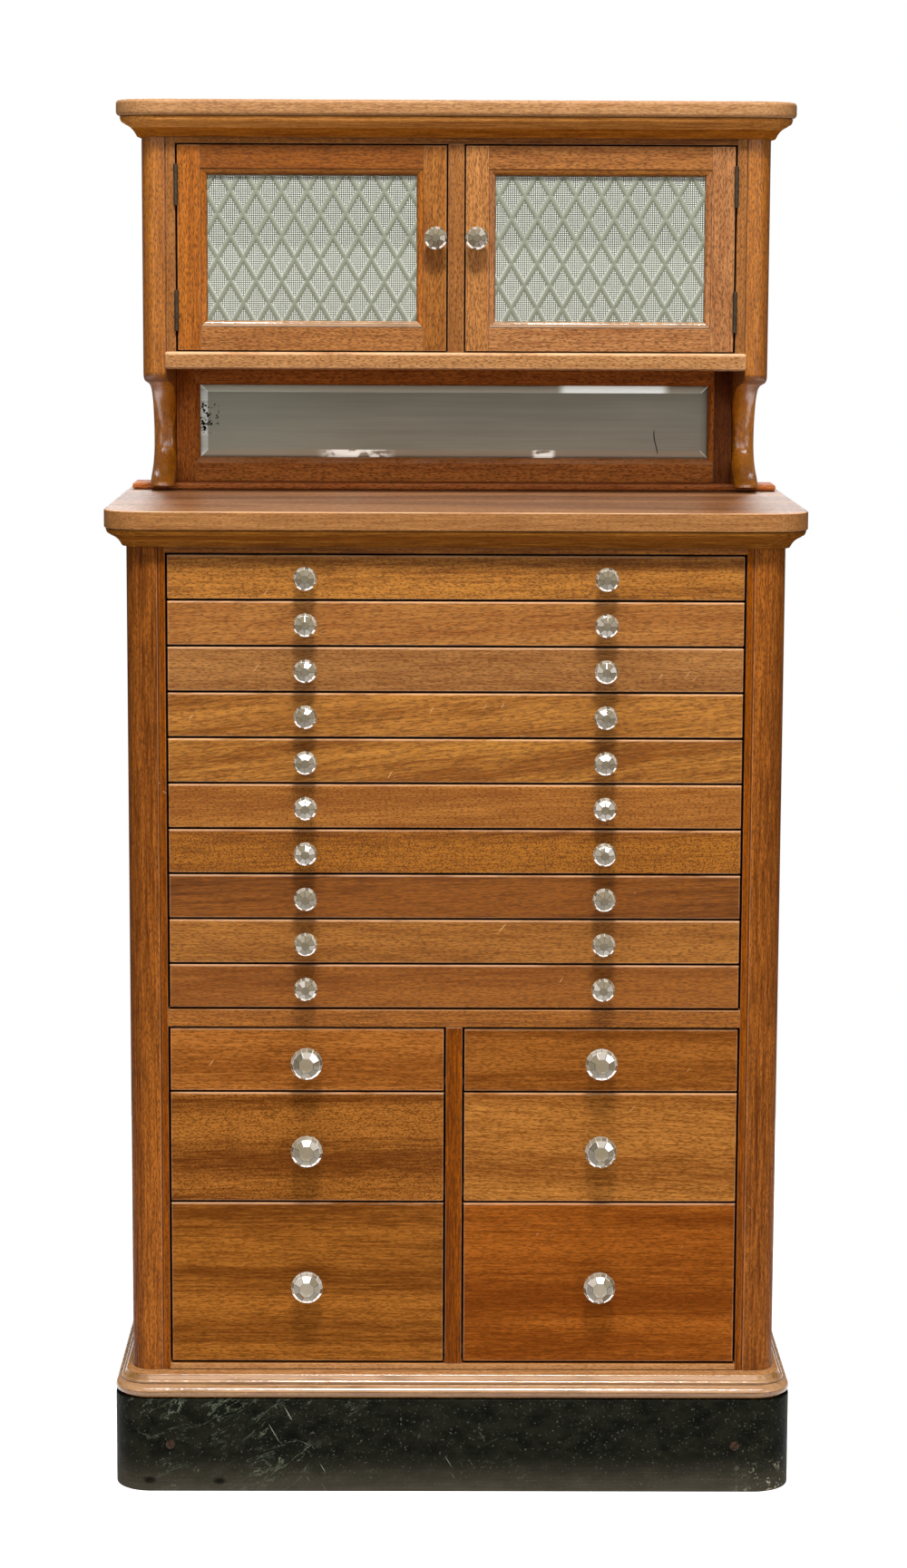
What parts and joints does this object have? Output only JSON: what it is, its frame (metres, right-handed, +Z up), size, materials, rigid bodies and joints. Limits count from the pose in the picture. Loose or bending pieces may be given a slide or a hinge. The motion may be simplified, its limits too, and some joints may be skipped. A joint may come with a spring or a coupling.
{
  "type": "dental cabinet",
  "caption": "Antique mahogany dental cabinet: a chest of shallow trays and deep drawers with glass knobs on a black plinth, under a mirror niche and a glazed cupboard.",
  "frame": {"origin": "on the floor, under the middle of the cabinet's bounding box", "axes": "+Z up, -Y towards the front where drawers and doors open, +X to the right as seen from the front"},
  "size_m": [0.782, 0.431, 1.5743],
  "materials": {
    "mahogany": "worn satin varnish",
    "dark_mahogany": "dark satin varnish",
    "black_paint": "scratched black paint on boards",
    "clear_glass": "cut and polished",
    "pressed_glass": "pressed diamond pattern",
    "mirror_silver": "aged silvering with a bevelled edge",
    "dark_bronze": "darkened bronze"
  },
  "bodies": {
    "cabinet": {"plinth": "black_paint", "base_board": "mahogany", "lower_case": "mahogany", "worktop": "mahogany", "upper_case": "mahogany", "mirror_frame": "dark_mahogany", "mirror_glass": "mirror_silver", "crown_board": "mahogany", "left_door_upper_hinge": "dark_bronze", "left_door_lower_hinge": "dark_bronze", "right_door_upper_hinge": "dark_bronze", "right_door_lower_hinge": "dark_bronze"},
    "left_door": {"left_door_frame": "mahogany", "left_door_glass": "pressed_glass", "left_door_knob": "clear_glass"},
    "right_door": {"right_door_frame": "mahogany", "right_door_glass": "pressed_glass", "right_door_knob": "clear_glass"},
    "tray_01_drawer": {"tray_01": "mahogany", "tray_01_left_knob": "clear_glass", "tray_01_right_knob": "clear_glass"},
    "tray_02_drawer": {"tray_02": "mahogany", "tray_02_left_knob": "clear_glass", "tray_02_right_knob": "clear_glass"},
    "tray_03_drawer": {"tray_03": "mahogany", "tray_03_left_knob": "clear_glass", "tray_03_right_knob": "clear_glass"},
    "tray_04_drawer": {"tray_04": "mahogany", "tray_04_left_knob": "clear_glass", "tray_04_right_knob": "clear_glass"},
    "tray_05_drawer": {"tray_05": "mahogany", "tray_05_left_knob": "clear_glass", "tray_05_right_knob": "clear_glass"},
    "tray_06_drawer": {"tray_06": "mahogany", "tray_06_left_knob": "clear_glass", "tray_06_right_knob": "clear_glass"},
    "tray_07_drawer": {"tray_07": "mahogany", "tray_07_left_knob": "clear_glass", "tray_07_right_knob": "clear_glass"},
    "tray_08_drawer": {"tray_08": "mahogany", "tray_08_left_knob": "clear_glass", "tray_08_right_knob": "clear_glass"},
    "tray_09_drawer": {"tray_09": "mahogany", "tray_09_left_knob": "clear_glass", "tray_09_right_knob": "clear_glass"},
    "tray_10_drawer": {"tray_10": "mahogany", "tray_10_left_knob": "clear_glass", "tray_10_right_knob": "clear_glass"},
    "left_drawer_lower_box": {"left_drawer_lower": "mahogany", "left_drawer_lower_knob": "clear_glass"},
    "right_drawer_lower_box": {"right_drawer_lower": "mahogany", "right_drawer_lower_knob": "clear_glass"},
    "left_drawer_middle_box": {"left_drawer_middle": "mahogany", "left_drawer_middle_knob": "clear_glass"},
    "right_drawer_middle_box": {"right_drawer_middle": "mahogany", "right_drawer_middle_knob": "clear_glass"},
    "left_drawer_upper_box": {"left_drawer_upper": "mahogany", "left_drawer_upper_knob": "clear_glass"},
    "right_drawer_upper_box": {"right_drawer_upper": "mahogany", "right_drawer_upper_knob": "clear_glass"}
  },
  "joints": [
    {"name": "left_door_hinge", "type": "hinge", "parent": "cabinet", "child": "left_door", "pos_m": [-0.3213, 0.0189, 1.4071], "axis": [0, 0, -1], "range_deg": [0, 160]},
    {"name": "right_door_hinge", "type": "hinge", "parent": "cabinet", "child": "right_door", "pos_m": [0.3213, 0.0189, 1.4071], "axis": [0, 0, 1], "range_deg": [0, 160]},
    {"name": "tray_01_slide", "type": "slide", "parent": "cabinet", "child": "tray_01_drawer", "axis": [0, -1, 0], "range_m": [0, 0.28]},
    {"name": "tray_02_slide", "type": "slide", "parent": "cabinet", "child": "tray_02_drawer", "axis": [0, -1, 0], "range_m": [0, 0.28]},
    {"name": "tray_03_slide", "type": "slide", "parent": "cabinet", "child": "tray_03_drawer", "axis": [0, -1, 0], "range_m": [0, 0.28]},
    {"name": "tray_04_slide", "type": "slide", "parent": "cabinet", "child": "tray_04_drawer", "axis": [0, -1, 0], "range_m": [0, 0.28]},
    {"name": "tray_05_slide", "type": "slide", "parent": "cabinet", "child": "tray_05_drawer", "axis": [0, -1, 0], "range_m": [0, 0.28]},
    {"name": "tray_06_slide", "type": "slide", "parent": "cabinet", "child": "tray_06_drawer", "axis": [0, -1, 0], "range_m": [0, 0.28]},
    {"name": "tray_07_slide", "type": "slide", "parent": "cabinet", "child": "tray_07_drawer", "axis": [0, -1, 0], "range_m": [0, 0.28]},
    {"name": "tray_08_slide", "type": "slide", "parent": "cabinet", "child": "tray_08_drawer", "axis": [0, -1, 0], "range_m": [0, 0.28]},
    {"name": "tray_09_slide", "type": "slide", "parent": "cabinet", "child": "tray_09_drawer", "axis": [0, -1, 0], "range_m": [0, 0.28]},
    {"name": "tray_10_slide", "type": "slide", "parent": "cabinet", "child": "tray_10_drawer", "axis": [0, -1, 0], "range_m": [0, 0.28]},
    {"name": "left_drawer_lower_slide", "type": "slide", "parent": "cabinet", "child": "left_drawer_lower_box", "axis": [0, -1, 0], "range_m": [0, 0.28]},
    {"name": "right_drawer_lower_slide", "type": "slide", "parent": "cabinet", "child": "right_drawer_lower_box", "axis": [0, -1, 0], "range_m": [0, 0.28]},
    {"name": "left_drawer_middle_slide", "type": "slide", "parent": "cabinet", "child": "left_drawer_middle_box", "axis": [0, -1, 0], "range_m": [0, 0.28]},
    {"name": "right_drawer_middle_slide", "type": "slide", "parent": "cabinet", "child": "right_drawer_middle_box", "axis": [0, -1, 0], "range_m": [0, 0.28]},
    {"name": "left_drawer_upper_slide", "type": "slide", "parent": "cabinet", "child": "left_drawer_upper_box", "axis": [0, -1, 0], "range_m": [0, 0.28]},
    {"name": "right_drawer_upper_slide", "type": "slide", "parent": "cabinet", "child": "right_drawer_upper_box", "axis": [0, -1, 0], "range_m": [0, 0.28]}
  ]
}
